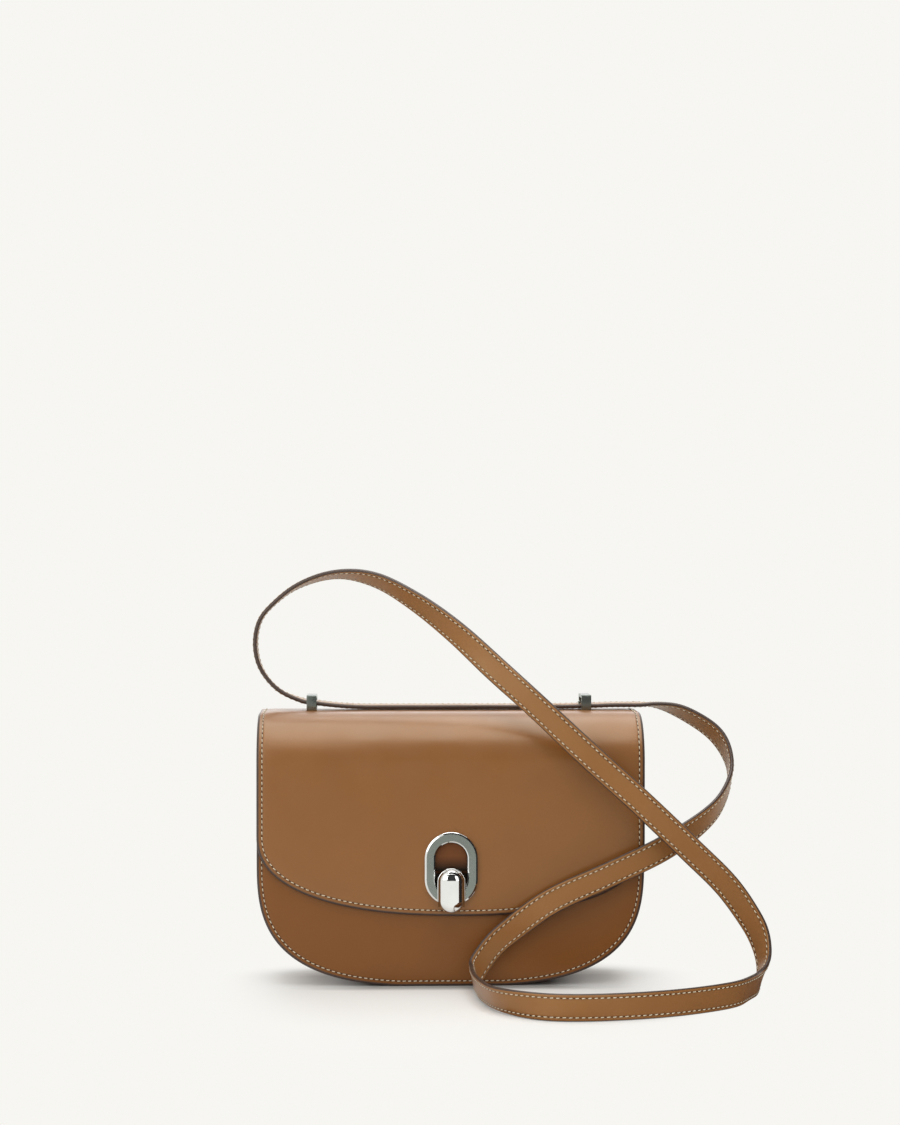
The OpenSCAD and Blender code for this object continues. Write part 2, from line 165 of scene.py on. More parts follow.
def leather(name, colour, rough=0.34, specular=0.65, seam=None, tint=0.85, painted_shade_band=None):
    """Clouded, grained leather, stained at the seams and, where asked, darkened below a band of heights
    with painted shade.
    """
    mat, tree, shader, where = start_material(name)
    dark, light = shade(colour, 0.93), shade(colour, 1.04)
    clouds = spread(tree, noise(tree, where, 34.0, 4.0), 0.0, 1.0)
    pores = spread(tree, noise(tree, where, 1100.0), 0.0, 0.9)
    base = mix(tree, mix(tree, dark, light, clouds), dark, pores)
    if seam:
        base = mix(tree, base, seam, add(tree, "Attribute", {}, attribute_name="seam").outputs["Fac"])
    # Painted shade: below the band of heights the colour turns nearly black.
    if painted_shade_band:
        height = add(tree, "SeparateXYZ", {0: where}).outputs["Z"]
        base = mix(tree, base, (0.014, 0.007, 0.003, 1.0), spread(tree, height, 1.0, 0.0, *painted_shade_band))
    patches = spread(tree, noise(tree, where, 60.0, 3.0), rough - 0.04, rough + 0.05)
    put(tree, shader, {"Base Color": base, "Roughness": patches, "Specular IOR Level": specular,
                       "Specular Tint": (1.0, 1.0, tint, 1.0)})
    grain = add(tree, "TexVoronoi", {"Vector": where, "Scale": 1500.0, "Smoothness": 0.6},
                feature="SMOOTH_F1").outputs["Distance"]
    creases = noise(tree, where, 260.0, 4.0)
    add_bump(tree, shader, [(grain, 0.3, 0.00006), (creases, 0.12, 0.00012)])
    return mat


def coat(name, colour, other_share, mottle, rough, bump, **inputs):
    """A material mottled with a share of its colour, its roughness a texture or a number."""
    mat, tree, shader, where = start_material(name)

    def texture(scale, detail, *span):
        return spread(tree, noise(tree, where, scale, detail), *span)

    base = mix(tree, colour, shade(colour, other_share), texture(*mottle))
    put(tree, shader, {"Base Color": base, **{k.replace("_", " "): v for k, v in inputs.items()},
                       "Roughness": texture(*rough) if isinstance(rough, tuple) else rough})
    scale, detail, strength, distance = bump
    if strength:
        add_bump(tree, shader, [(noise(tree, where, scale, detail), strength, distance)])
    return mat


def paint(name, colour, specular=0.5):
    return coat(name, colour, 1.5, (320.0, 3.0, 0.0, 0.5, 0.4, 0.75), (200.0, 2.0, 0.34, 0.48),
                (700.0, 3.0, 0.2, 0.00008), Specular_IOR_Level=specular)


def metal(name, colour, rough, brushed=0.0):
    return coat(name, colour, 0.9, (90.0, 3.0, 0.0, 1.0), (140.0, 4.0, rough * 0.85, rough * 1.2),
                (2600.0, 2.0, brushed, 0.00002), Metallic=1.0)


def cloth(name, colour, scale=900.0, nap=0.5):
    mat, tree, shader, where = start_material(name)
    dark = shade(colour, 0.8)
    clouds = spread(tree, noise(tree, where, 35.0, 5.0), 0.0, 1.0)
    fibres = spread(tree, noise(tree, where, scale), 0.0, 0.35)
    put(tree, shader, {"Base Color": mix(tree, mix(tree, colour, dark, clouds), dark, fibres),
                       "Roughness": 0.9, "Specular IOR Level": 0.15, "Sheen Weight": 0.25})
    add_bump(tree, shader, [(noise(tree, where, scale, 3.0), nap, 0.0001)])
    return mat


seam_brown = srgb(72, 44, 28)
tan = leather("tan_leather", srgb(137, 86, 36), seam=seam_brown)
brown = leather("shell_leather", srgb(125, 75, 29), 0.38, 0.42, seam=seam_brown)
strap_tan = leather("strap_leather", srgb(147, 98, 53), 0.36, 0.5, seam=seam_brown, tint=0.72)
strap_tree = strap_tan.node_tree
put(strap_tree, strap_tree.nodes["Principled BSDF"], {"Sheen Weight": 0.1, "Sheen Roughness": 0.35})
dark_leather = leather("dark_leather", srgb(112, 66, 36), 0.55, 0.2)
# Behind the ring the dark leather is darkened below a band of heights with painted shade, the shade of
# the ring and the capsule in the window.
window_shaded_leather = leather("window_leather_painted_shade", srgb(112, 66, 36), 0.55, 0.2, painted_shade_band=(0.0665, 0.0740))
edge = paint("edge_paint", srgb(64, 48, 40))
strap_edge = paint("strap_edge_paint", srgb(68, 53, 45))
# The capsule's pin is near black and without gloss, painted shade, so that it sinks into the dark window.
pin_shade_paint = paint("pin_painted_shade", srgb(40, 24, 14), 0.0)
cream = coat("cream_thread", srgb(222, 210, 184), 0.62, (1500.0, 2.0, 0.0, 0.7), 0.62,
             (3800.0, 1.0, 0.5, 0.0001), Specular_IOR_Level=0.25)
# The stitch holes are dark discs, painted shade in the holes.
hole = paint("awl_hole_painted_shade", srgb(58, 36, 24))
suede = cloth("suede_lining", srgb(190, 164, 132))
board = cloth("fibre_board", srgb(160, 148, 130), 300.0, 0.3)
satin = metal("satin_metal", srgb(150, 158, 151), 0.28, 0.07)
# A darker copy of the satin: painted shade for the loops' top faces.
satin_painted_shade = metal("satin_painted_shade", (0.10, 0.11, 0.10, 1.0), 0.3, 0.1)
# Dark brown metal that paints the shade in the gap between the capsule and its plate.
channel_shade_paint = metal("brown_painted_shade", (0.16, 0.075, 0.03, 1.0), 0.32, 0.1)
polished = metal("polished_rim", (0.84, 0.85, 0.84, 1.0), 0.09)
chrome = metal("chrome", (0.90, 0.91, 0.90, 1.0), 0.045)
steel = metal("steel", (0.55, 0.56, 0.57, 1.0), 0.3, 0.2)


# Meshes
def flipped_outward(points, faces):
    """The faces, all turned over if the closed mesh has a negative volume."""
    p = np.asarray(points, float)
    volume = sum(np.dot(p[f[0]], np.cross(p[f[i]], p[f[i + 1]]))
                 for f in faces for i in range(1, len(f) - 1))
    return [tuple(reversed(f)) for f in faces] if volume < 0 else faces


def build(name, points, faces, mats, index=None, sharp=35.0, seam=None, closed=True):
    """An object of points in millimetres, smooth but for edges past the sharp angle."""
    if closed:
        faces = flipped_outward(points, faces)
    mesh = bpy.data.meshes.new(name)
    mesh.from_pydata((np.asarray(points, float) * MM).tolist(), [], faces)
    for m in mats:
        mesh.materials.append(m)
    if index is not None:
        mesh.polygons.foreach_set("material_index", np.asarray(index, np.int32))
    mesh.polygons.foreach_set("use_smooth", [True] * len(mesh.polygons))
    if seam is not None:
        stain = mesh.attributes.new("seam", "FLOAT", "POINT")
        stain.data.foreach_set("value", np.asarray(seam, np.float32))
    mesh.update()
    if sharp is not None:
        mesh.set_sharp_from_angle(angle=math.radians(sharp))
    return linked(name, mesh)


def declare(obj, slot, body, *nodes):
    """Attach a piece to the body it rides and hide the nodes it stands for; the slot is not used."""
    if nodes:
        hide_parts(*nodes)
    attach(obj, body)


def grid_faces(rows, columns, wrap=True):
    """Quads between neighbouring rows of points, each row a closed ring if it wraps."""
    faces = []
    for i in range(rows - 1):
        for k in range(columns if wrap else columns - 1):
            a, b = i * columns + k, i * columns + (k + 1) % columns
            faces.append((a, b, b + columns, a + columns))
    return faces


def tube_faces(rings, sides):
    """The faces of a tube of closed rings, with one over each end."""
    last = (rings - 1) * sides
    ends = [tuple(reversed(range(sides))), tuple(range(last, last + sides))]
    return grid_faces(rings, sides) + ends


def torus_faces(rings, sides):
    """The faces of a tube of closed rings whose last ring meets the first."""
    return [tuple(v % (rings * sides) for v in f) for f in grid_faces(rings + 1, sides)]


# A sheet's vertices lie at these distances from its rim, closest at the edge and at the
# stitch groove, and then at these shares of what is left.
RIM = [0.0, 0.02, 0.08, 0.2, 0.4, 0.65, 0.95, 1.3, 1.6, 1.95, 2.3, 2.6, 2.9, 3.15, 3.4,
       3.7, 4.1, 4.7, 5.6, 7.0, 9.0, 12.0]
INNER_SHARES = [0.95, 0.87, 0.77, 0.66, 0.55, 0.44, 0.33, 0.22, 0.11, 0.0]


def spaced(a, b, step):
    n = max(1, int(round(abs(b - a) / step)))
    return [a + (b - a) * i / n for i in range(n + 1)]


def foot_curve(w, drop, power, angles, s_mid, foot):
    s = np.sin(angles)
    x = w * np.sign(s) * np.abs(s) ** (2 / power)
    v = s_mid + drop * np.abs(np.cos(angles)) ** (2 / power)
    return x, (v if foot is None else np.minimum(v, foot))


def even_angles(w, drop, power, s_mid, foot, steps):
    t = np.linspace(-math.pi / 2, math.pi / 2, 4001)
    x, v = foot_curve(w, drop, power, t, s_mid, foot)
    run = np.concatenate([[0], np.cumsum(np.hypot(np.diff(x), np.diff(v)))])
    return np.interp(np.linspace(0, run[-1], steps + 1), run, t)


def row_places(top, *stretches):
    """The rows of a sheet from its top edge down, by each stretch's end and step."""
    rows = [top + d for d in RIM]
    for end, step in stretches:
        rows += spaced(rows[-1], end, step)[1:]
    return rows


def tombstone(w, s_top, s_mid, drop, power, rows, foot=None, steps=110):
    """Grid of a sheet with straight sides and a round foot, in (x, way down)."""
    lines = [(d, 1.0) for d in RIM] + [(RIM[-1], q) for q in INNER_SHARES]
    n = len(lines)
    half = [(w - d) * q for d, q in lines]
    xs = [-h for h in half] + half[-2::-1]
    pts = [(x, s) for s in rows for x in xs]
    inset = [min(w - abs(x), s - s_top) for x, s in pts]
    width = len(xs)
    last = (len(rows) - 1) * width
    faces = grid_faces(len(rows), width, wrap=False)
    angles = even_angles(w, drop, power, s_mid, foot, steps)
    start = len(pts)
    d, q = np.array(lines[:-1]).T
    base = None if foot is None else foot - d
    for t in angles[1:-1]:
        pts += zip(*foot_curve((w - d) * q, (drop - d) * q, power, t, s_mid, base))
        inset += list(d + (1 - q) * 0.9 * (min(w, drop) - d))

    ids = np.full((steps + 1, n), last + n - 1)
    ids[0], ids[-1] = last + np.arange(n), last + width - 1 - np.arange(n)
    ids[1:-1, :-1] = np.arange(start, len(pts)).reshape(steps - 1, n - 1)
    for k in range(steps):
        for i in range(n - 1):
            f = (ids[k, i], ids[k + 1, i], ids[k + 1, i + 1], ids[k, i + 1])
            faces.append(tuple(dict.fromkeys(int(v) for v in f)))
    return np.array(pts), np.array(inset), faces


def rim_curve(inset, r):
    d = np.minimum(inset, r)
    return r - np.sqrt(np.maximum(r * r - (r - d) ** 2, 0))


# The seam presses the sheet in over a width, and its groove and rim are stained.
PRESSED_W, GROOVE_W, GROOVE_D, RIM_STAIN_W = 9.0, 0.42, 0.16, 0.5
GROOVE_STAIN, RIM_STAIN = 0.62, 0.30


def slab(name, grid, thick, place, mats, groove=None, sink=0.0, paint_to=0.8, puff=None):
    """A sheet with a full round painted edge, pressed in a little at its rim."""
    pts, inset, faces = grid
    t = thick(pts) if callable(thick) else np.full(len(pts), thick)
    r = t / 2
    curve = rim_curve(inset, r)
    near = np.clip(inset / PRESSED_W, 0, 1)
    sunk = sink * (1 - near * near * (3 - 2 * near))
    outer = curve + sunk
    seam = np.zeros(len(pts))
    if groove is not None:
        line = np.exp(-((inset - groove) / GROOVE_W) ** 2)
        outer = outer + GROOVE_D * line
        seam = GROOVE_STAIN * line + RIM_STAIN * np.exp(-((inset - r) / RIM_STAIN_W) ** 2)
    if puff is not None:
        outer = outer - puff(pts, inset)
    inner = t - curve + sunk
    top = place(pts[:, 0], pts[:, 1], outer)
    low = place(pts[:, 0], pts[:, 1], inner)
    # The two skins share the vertices on the rim.
    free = np.where(inset > 1e-9)[0]
    low_vertex = np.arange(len(pts))
    low_vertex[free] = len(pts) + np.arange(len(free))
    points = np.vstack([top, low[free]])
    all_faces = list(faces) + [tuple(int(low_vertex[v]) for v in reversed(f)) for f in faces]
    beyond = inset - paint_to * r
    index = [1 if np.mean(beyond[list(f)]) < 0 else 0 for f in faces]
    index += [i or 2 for i in index]
    return build(name, points, all_faces, mats, index, 60.0,
                 np.concatenate([seam, np.zeros(len(free))]))


# Stitches
THREAD_R, THREAD_SIDES, THREAD_SHARE, THREAD_SLANT, HOLE_R = 0.29, 6, 0.60, 0.10, 0.46
THREAD_SHARES = np.array([-1.0, -0.86, -0.5, 0.0, 0.5, 0.86, 1.0])


def thread_form(long):
    """One stitch lying on the surface, its ends sunk into the holes."""
    points = []
    for u in THREAD_SHARES:
        fat = THREAD_R * (0.35 if abs(u) == 1 else 1.0 - 0.18 * u * u)
        lift = 0.17 - 0.42 * u ** 4
        for k in range(THREAD_SIDES):
            a = 2 * math.pi * k / THREAD_SIDES
            points.append((u * long / 2, fat * math.cos(a), lift + fat * math.sin(a) * 0.85))
    return np.array(points), tube_faces(len(THREAD_SHARES), THREAD_SIDES)


def hole_form(sides=8):
    """A flat oval awl hole, a low double cone."""
    points = [(HOLE_R * math.cos(a), 0.62 * HOLE_R * math.sin(a), 0.0)
              for a in np.linspace(0, 2 * math.pi, sides + 1)[:-1]]
    points += [(0, 0, 0.05), (0, 0, -0.25)]
    faces = []
    for k in range(sides):
        faces += [(k, (k + 1) % sides, sides), ((k + 1) % sides, k, sides + 1)]
    return np.array(points), faces


def unit(vectors):
    return vectors / np.linalg.norm(vectors, axis=1)[:, None]


def stamp(forms, centres, along, normal):
    """Copies of a small form, set along a line on a surface."""
    points, faces = forms
    t = unit(along)
    n = unit(normal - t * (normal * t).sum(1)[:, None])
    all_points = centres[:, None] + points @ np.stack([t, np.cross(n, t), n], axis=1)
    all_faces = [tuple(v + len(points) * i for v in f) for i in range(len(centres)) for f in faces]
    return all_points.reshape(-1, 3), all_faces


def sew(name, centres, along, normal, pitch):
    """A row of slightly slanted stitches with a dark disc of painted shade for the hole at each end of
    each.
    """
    side, t = unit(np.cross(normal, along)), unit(along)
    p1, f1 = stamp(thread_form(pitch * THREAD_SHARE), centres, t + THREAD_SLANT * side, normal)
    p2, f2 = stamp(hole_form(), centres + t * pitch / 2, t, normal)
    faces = f1 + [tuple(v + len(p1) for v in f) for f in f2]
    index = [0] * len(f1) + [1] * len(f2)
    return build(name, np.vstack([p1, p2]), faces, [cream, hole], index, None, closed=False)


def on_sheet(line, pitch, place, depth):
    """Centres, directions, normals and even pitch of stitches along a line on a sheet."""
    line = np.asarray(line, float)
    run = np.concatenate([[0], np.cumsum(np.hypot(*np.diff(line, axis=0).T))])
    count = int(run[-1] // pitch)
    at = (np.arange(count) + 0.5) * run[-1] / count
    x, s = (np.interp(at, run, line[:, k]) for k in (0, 1))
    x2, s2 = (np.interp(at + 0.2, run, line[:, k]) for k in (0, 1))
    d = np.full(count, depth)
    centre = place(x, s, d)
    return centre, place(x2, s2, d) - centre, place(x, s, d - 1.0) - centre, run[-1] / count


# The flap and the yoke are one sheet. The way s along it is 0 in the middle of the top,
# grows down the front and falls down the back.
ARC = FOLD_R * math.pi / 2
S_FOLD = -FOLD_Y
S_FRONT = S_FOLD + ARC
S_MID = S_FRONT + FOLD_Z - FLAP_MID
S_BACK = -CORNER_Y
S_DOWN = S_BACK - CORNER_R * math.pi / 2
S_TAIL = S_DOWN - TAIL
FLAP_LEAN = 0.012   # the flap hangs a little lower at its right


def smooth(a, b, v):
    t = np.clip((v - a) / (b - a), 0, 1)
    return t * t * (3 - 2 * t)


def flap_place(x, s, depth):
    """From the sheet's flat shape to its place over the fold and down the back."""
    x, s, depth = (np.asarray(v, float) for v in (x, s, depth))
    s = s + FLAP_LEAN * x * smooth(S_FOLD, S_MID, s)
    a = np.clip((s - S_FOLD) / FOLD_R, 0, math.pi / 2)
    b = np.clip((S_BACK - s) / CORNER_R, 0, math.pi / 2)
    parts = [s > S_FOLD, s < S_BACK]
    y = np.select(parts, [FOLD_Y - FOLD_R * np.sin(a), CORNER_Y + CORNER_R * np.sin(b)], -s)
    z = np.select(parts, [FOLD_Z + FOLD_R * np.cos(a) - np.maximum(s - S_FRONT, 0),
                          BAG_H - CORNER_R + CORNER_R * np.cos(b) - np.maximum(S_DOWN - s, 0)], BAG_H)
    ny, nz = np.sin(b) - np.sin(a), np.cos(a) * np.cos(b)
    return np.stack([x, y - ny * depth, z - nz * depth], axis=1)


def flap_thickness(pts):
    """The thin yoke turns into the padded flap behind the fold."""
    return YOKE_T + (FLAP_T - YOKE_T) * smooth(-22.0, -6.0, pts[:, 1])


def flap_puff(pts, inset):
    """The flap's front is very slightly full."""
    return 0.12 * np.clip(inset / 30, 0, 1) * smooth(S_FOLD, S_MID, pts[:, 1])


FLAP_SEW, FLAP_PITCH, FLAP_DROP = 3.2, 3.15, FLAP_MID - FLAP_TIP
flap_rows = row_places(S_TAIL, (S_DOWN, 4.0), (S_BACK, 0.9), (S_FOLD, 1.5), (S_FRONT, 1.1),
                       (S_MID, 3.6))
flap_grid = tombstone(HALF_W, S_TAIL, S_MID, FLAP_DROP, FLAP_POWER, flap_rows, steps=130)
flap = slab("flap_and_yoke", flap_grid, flap_thickness, flap_place, [tan, edge, brown],
            groove=FLAP_SEW, sink=0.3, puff=flap_puff)


def stadium(straight, count):
    """The way round an upright stadium: its turns' middle heights and angles."""
    half = np.linspace(0, math.pi, count)
    return [(straight, a) for a in half] + [(-straight, math.pi + a) for a in half]


def stadium_outline(width, height):
    r = width / 2
    return [(r * math.cos(a), z + r * math.sin(a)) for z, a in stadium((height - width) / 2, 48)]


def add_bevel(obj, width, segments, angle):
    m = obj.modifiers.new("bevel", "BEVEL")
    m.width, m.segments, m.limit_method = width * MM, segments, "ANGLE"
    m.angle_limit = math.radians(angle)
    m.harden_normals = True


def prism(name, outline, y0, y1, mats, z_mid=0.0):
    """A closed plate with that front view, from depth y0 to y1."""
    points = [(x, y, z + z_mid) for y in (y0, y1) for x, z in outline]
    return build(name, points, tube_faces(2, len(outline)), mats)


ring_x, (RING_Y, _), ring_z = spans("clasp_ring")
RING_W, RING_H, RING_Z, RING_BAND = length(ring_x), length(ring_z), middle(ring_z), 6.0
RING_T = round(FLAP_Y - RING_Y, 2)
WINDOW_W, WINDOW_H = RING_W - 2 * RING_BAND, RING_H - 2 * RING_BAND
WINDOW_PLAY, WINDOW_DEEP, CUT_OVER = 0.6, 0.65, 2.0

# The window behind the ring is cut out of the flap, and the cutter is removed.
cutter = prism("cutter", stadium_outline(WINDOW_W + WINDOW_PLAY, WINDOW_H + WINDOW_PLAY),
               FLAP_Y - CUT_OVER, FLAP_Y + WINDOW_DEEP, [window_shaded_leather], RING_Z)
cut = flap.modifiers.new("window", "BOOLEAN")
cut.operation, cut.object, cut.solver = "DIFFERENCE", cutter, "EXACT"
bpy.context.view_layer.update()
depsgraph = bpy.context.evaluated_depsgraph_get()
cut_mesh = bpy.data.meshes.new_from_object(flap.evaluated_get(depsgraph))
flap.modifiers.clear()
flap.data = cut_mesh
bpy.data.objects.remove(cutter)
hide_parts("flap_leather", "flap_board", "top_yoke")
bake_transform(flap)


def sheet_line(w, s_top, s_mid, drop, power, inset, foot=None):
    """The line at one inset from the rim: down the left side, round the foot, up the right."""
    t = even_angles(w, drop, power, s_mid, foot, 240)
    base = None if foot is None else foot - inset
    x, v = foot_curve(w - inset, drop - inset, power, t, s_mid, base)
    return [(inset - w, s_top)] + list(zip(x, v)) + [(w - inset, s_top)]


line = sheet_line(HALF_W, S_TAIL + FLAP_SEW, S_MID, FLAP_DROP, FLAP_POWER, FLAP_SEW)
flap_sewing = sew("flap_stitches", *on_sheet(line + line[:1], FLAP_PITCH, flap_place, 0.22))
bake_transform(flap_sewing)

# The lining under the flap ends at the fold of the hinge.
LINING_TOP, LINING_IN, LINING_T, LINING_SUNK = 0.3, 1.9, 0.24, 0.12
lining_rows = row_places(LINING_TOP, (S_FRONT, 2.0), (S_MID, 6.0))
lining_grid = tombstone(HALF_W - LINING_IN, LINING_TOP, S_MID, FLAP_DROP - LINING_IN, FLAP_POWER,
                        lining_rows, steps=90)


def flap_under(x, s, depth):
    return flap_place(x, s, FLAP_T - LINING_SUNK + np.asarray(depth))


under = slab("flap_lining_suede", lining_grid, LINING_T, flap_under, [suede, suede, suede])
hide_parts("flap_lining")
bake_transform(under)


# The shell
def wall_place(face_y, inward, top):
    """Places a wall's flat sheet by its outer face's depth and its top edge."""
    def place(x, s, depth):
        x, s, depth = (np.asarray(v, float) for v in (x, s, depth))
        return np.stack([x, face_y + inward * depth, top - s], axis=1)
    return place


def body_grid(top, inset=0.0, steps=150):
    mid = top - SHOULDER
    return tombstone(HALF_W - inset, 0.0, mid, SHOULDER + BASE_CUT - inset, BODY_POWER,
                     row_places(0.0, (mid, 4.0)), foot=top - inset, steps=steps)


SHELL_T, WALL_LINING_T, SHELL_SEW, SHELL_PITCH = 2.0, 2.0, 2.9, 3.1
for side, face_y, inward, top, paint_to in (("front", FRONT_Y, 1, FRONT_TOP, 1.25),
                                            ("back", BACK_Y, -1, BACK_TOP, 0.8)):
    place = wall_place(face_y, inward, top)
    wall = slab(side + "_panel_leather", body_grid(top), SHELL_T, place, [brown, edge, brown],
                groove=SHELL_SEW, sink=0.4, paint_to=paint_to)
    line = sheet_line(HALF_W, 1.0, top - SHOULDER, SHOULDER + BASE_CUT, BODY_POWER, SHELL_SEW,
                      foot=top)
    sewing = sew(side + "_stitches", *on_sheet(line, SHELL_PITCH, place, 0.32))
    lining = slab(side + "_wall_lining", body_grid(top, LINING_IN, 90), WALL_LINING_T,
                  wall_place(face_y + inward * SHELL_T, inward, top), [suede, suede, suede])
    declare(wall, "shell_leather", "bag", side + "_panel")
    declare(sewing, "shell_leather", "bag")
    declare(lining, "lining", "bag", side + "_board", side + "_lining")


def side_top(y, gap):
    """Height of the space under the flap and the yoke at a depth."""
    r = FOLD_R - FLAP_T - gap
    if y < FOLD_Y:
        return FOLD_Z + math.sqrt(max(r * r - (y - FOLD_Y) ** 2, 0))
    if y < CORNER_Y:
        return min(FOLD_Z + r, BAG_H - YOKE_T) if y < 0 else BAG_H - YOKE_T
    q = CORNER_R - YOKE_T
    return BAG_H - CORNER_R + math.sqrt(max(q * q - (y - CORNER_Y) ** 2, 0))


def band(name, y_end, outer_inset, inner_inset, mats, gap=0.7, top_cap=BAG_H):
    """The band round the sides and the base, its two skins closed at all four edges."""
    columns, straight = 30, 26
    angles = even_angles(HALF_W, SHOULDER + BASE_CUT, BODY_POWER, 0.0, None, 120)
    points = []
    for skin in (outer_inset, inner_inset):
        for y in np.linspace(-y_end, y_end, columns + 1):
            d = skin((y + y_end) / (2 * y_end))
            top = min(side_top(y, gap), top_cap)
            x, drop = foot_curve(HALF_W - d, SHOULDER + BASE_CUT - d, BODY_POWER, angles, 0.0, None)
            column = [(d - HALF_W, y, top + (SHOULDER - top) * i / straight) for i in range(straight)]
            column += [(a, y, b) for a, b in zip(x, np.maximum(SHOULDER - drop, d))]
            column += [(HALF_W - d, y, SHOULDER + (top - SHOULDER) * (i + 1) / straight)
                       for i in range(straight)]
            points += column
    n = len(column)
    total = (columns + 1) * n
    faces = grid_faces(columns + 1, n, wrap=False)
    faces += [tuple(total + v for v in (a, d, c, b)) for a, b, c, d in faces]
    front_end, back_end = range(n), range(total - n, total)
    left_end, right_end = range(0, total, n), range(n - 1, total, n)
    for end in (front_end[::-1], back_end, left_end, right_end[::-1]):
        faces += [(a, b, total + b, total + a) for a, b in zip(end, end[1:])]
    return build(name, points, faces, mats)


def sag(v):
    """The band is full at its seams and sinks a little between them."""
    lip = min(v, 1 - v)
    return 0.25 + 0.75 * float(smooth(0.0, 0.09, np.array(lip))) + 0.5 * math.sin(math.pi * v)


GUSSET_T, GUSSET_END, GUSSET_LINING_END = 1.0, 28.2, 26.2
GUSSET_LINING = (2.35, 2.85)
gusset = band("gusset_leather", GUSSET_END, sag, lambda v: sag(v) + GUSSET_T, [brown])
gusset_in = band("gusset_suede", GUSSET_LINING_END, lambda v: GUSSET_LINING[0],
                 lambda v: GUSSET_LINING[1], [suede], 1.4, 144.0)
declare(gusset, "shell_leather", "bag", "gusset")
declare(gusset_in, "lining", "bag", "gusset_lining")

# The lining under the top board wraps the board's front edge.
TOP_LINING_END, TOP_LINING_SLANT, TOP_LINING_T = HALF_W - 2.1, 0.4, 0.5
path = [(0.55, 151.4), (0.55, 148.3), (0.75, 147.85), (1.2, 147.65), (24.0, 147.65), (25.6, 147.4)]
path += [(y + TOP_LINING_SLANT, z + TOP_LINING_T) for y, z in reversed(path)]
points = [(x, y, z) for x in (-TOP_LINING_END, TOP_LINING_END) for y, z in path]
top_in = build("top_board_suede", points, tube_faces(2, len(path)), [suede])
declare(top_in, "lining", "bag", "top_lining")

# The slip pocket: a leather patch with a stitched border and a slack top.
(_, POCKET_W), (POCKET_Y, _), (POCKET_FOOT, POCKET_TOP) = spans("slip_pocket")
POCKET_T, POCKET_SEW, POCKET_SLACK, SLACK_DEEP = 1.0, 2.0, 2.2, 16.0
POCKET_H = POCKET_TOP - POCKET_FOOT
POCKET_RIM = [0.15, 0.4, 0.8, 1.6]
cols = sorted(spaced(-POCKET_W, POCKET_W, 4.0)
              + [c * (POCKET_W - d) for c in (-1, 1) for d in POCKET_RIM])
rows = sorted(spaced(0.0, POCKET_H, 4.0) + POCKET_RIM + [POCKET_H - d for d in POCKET_RIM])
pts = [(c, r) for r in rows for c in cols]
inset = [max(0.0, min(POCKET_W - abs(c), r, POCKET_H - r)) for c, r in pts]


def pocket_place(x, s, depth):
    x, s = np.asarray(x, float), np.asarray(s, float)
    slack = POCKET_SLACK * np.exp(-(s / SLACK_DEEP) ** 2) * np.cos(x / POCKET_W * math.pi / 2) ** 0.7
    return np.stack([x, POCKET_Y - 0.05 - slack + depth, POCKET_TOP - s], axis=1)


pocket = slab("slip_pocket_leather",
              (np.array(pts), np.array(inset), grid_faces(len(rows), len(cols), wrap=False)),
              POCKET_T, pocket_place, [dark_leather, edge, dark_leather])
declare(pocket, "dark_leather", "bag", "slip_pocket")
sewn_w, sewn_h = POCKET_W - POCKET_SEW, POCKET_H - POCKET_SEW
line = [(-sewn_w, 1.0), (-sewn_w, sewn_h), (sewn_w, sewn_h), (sewn_w, 1.0)]
pocket_sewing = sew("pocket_stitches", *on_sheet(line, SHELL_PITCH, pocket_place, 0.0))
declare(pocket_sewing, "dark_leather", "bag")

# The clasp: the inlay in the window, then the ring round it.
INLAY_PLAY, INLAY_FROM, INLAY_TO = 0.5, 0.8, 1.4
inlay = prism("window_inlay_leather", stadium_outline(WINDOW_W + INLAY_PLAY, WINDOW_H + INLAY_PLAY),
              FLAP_Y + INLAY_FROM, FLAP_Y + INLAY_TO, [window_shaded_leather], RING_Z)
declare(inlay, "dark_leather", "flap", "window_inlay")

# The ring's section runs up its inner chamfer, over the flat top and down the outer chamfer.
CHAMFER, RING_TURNS, FLAT_TOP = 1.0, 181, 3
inner, outer = RING_W / 2 - RING_BAND, RING_W / 2
section = [(inner, 0.0), (inner, RING_T - 0.75 * CHAMFER),
           (inner + 0.35 * CHAMFER, RING_T - 0.36 * CHAMFER), (inner + 0.95 * CHAMFER, RING_T),
           (outer - CHAMFER, RING_T), (outer - 0.22 * CHAMFER, RING_T - 0.42 * CHAMFER),
           (outer, RING_T - 0.62 * CHAMFER), (outer, 0.0)]
points = [(r * math.cos(a), FLAP_Y - height, RING_Z + z + r * math.sin(a))
          for z, a in stadium((RING_H - RING_W) / 2, RING_TURNS) for r, height in section]
sides = len(section)
index = [0 if i == FLAT_TOP else 1 for i in range(sides)] * (2 * RING_TURNS)
ring = build("clasp_ring_metal", points, torus_faces(2 * RING_TURNS, sides), [satin, polished],
             index, 12.0)
declare(ring, "satin_metal", "flap", "clasp_ring")

# The capsule's plate, round above and square below.
(_, PLATE_HALF), _, _ = spans("capsule")
_, _, pin_span = spans("capsule_pin")
PIN_Y, PIN_Z, RISE, RING_CLEAR = FLAP_Y - RING_T / 2, middle(pin_span), 2.2, 0.3
PLATE_T, PLATE_OVER, PLATE_DROP, PLATE_CUT_W, PLATE_CUT_H = 1.6, 0.4, 16.7, 0.4, 1.0
plate_top, plate_foot = PIN_Z + RISE + PLATE_OVER, PIN_Z - PLATE_DROP
plate_y = FLAP_Y - RING_T - RING_CLEAR
plate_front = plate_y - PLATE_T
outline = [(PLATE_HALF * math.cos(a), plate_top - PLATE_HALF + PLATE_HALF * math.sin(a))
           for a in np.linspace(0, math.pi, 49)]
outline += [(-PLATE_HALF, plate_foot + PLATE_CUT_H), (PLATE_CUT_W - PLATE_HALF, plate_foot),
            (PLATE_HALF - PLATE_CUT_W, plate_foot), (PLATE_HALF, plate_foot + PLATE_CUT_H)]
plate = prism("capsule_plate", outline, plate_front, plate_y, [chrome])
add_bevel(plate, 0.5, 3, 50)

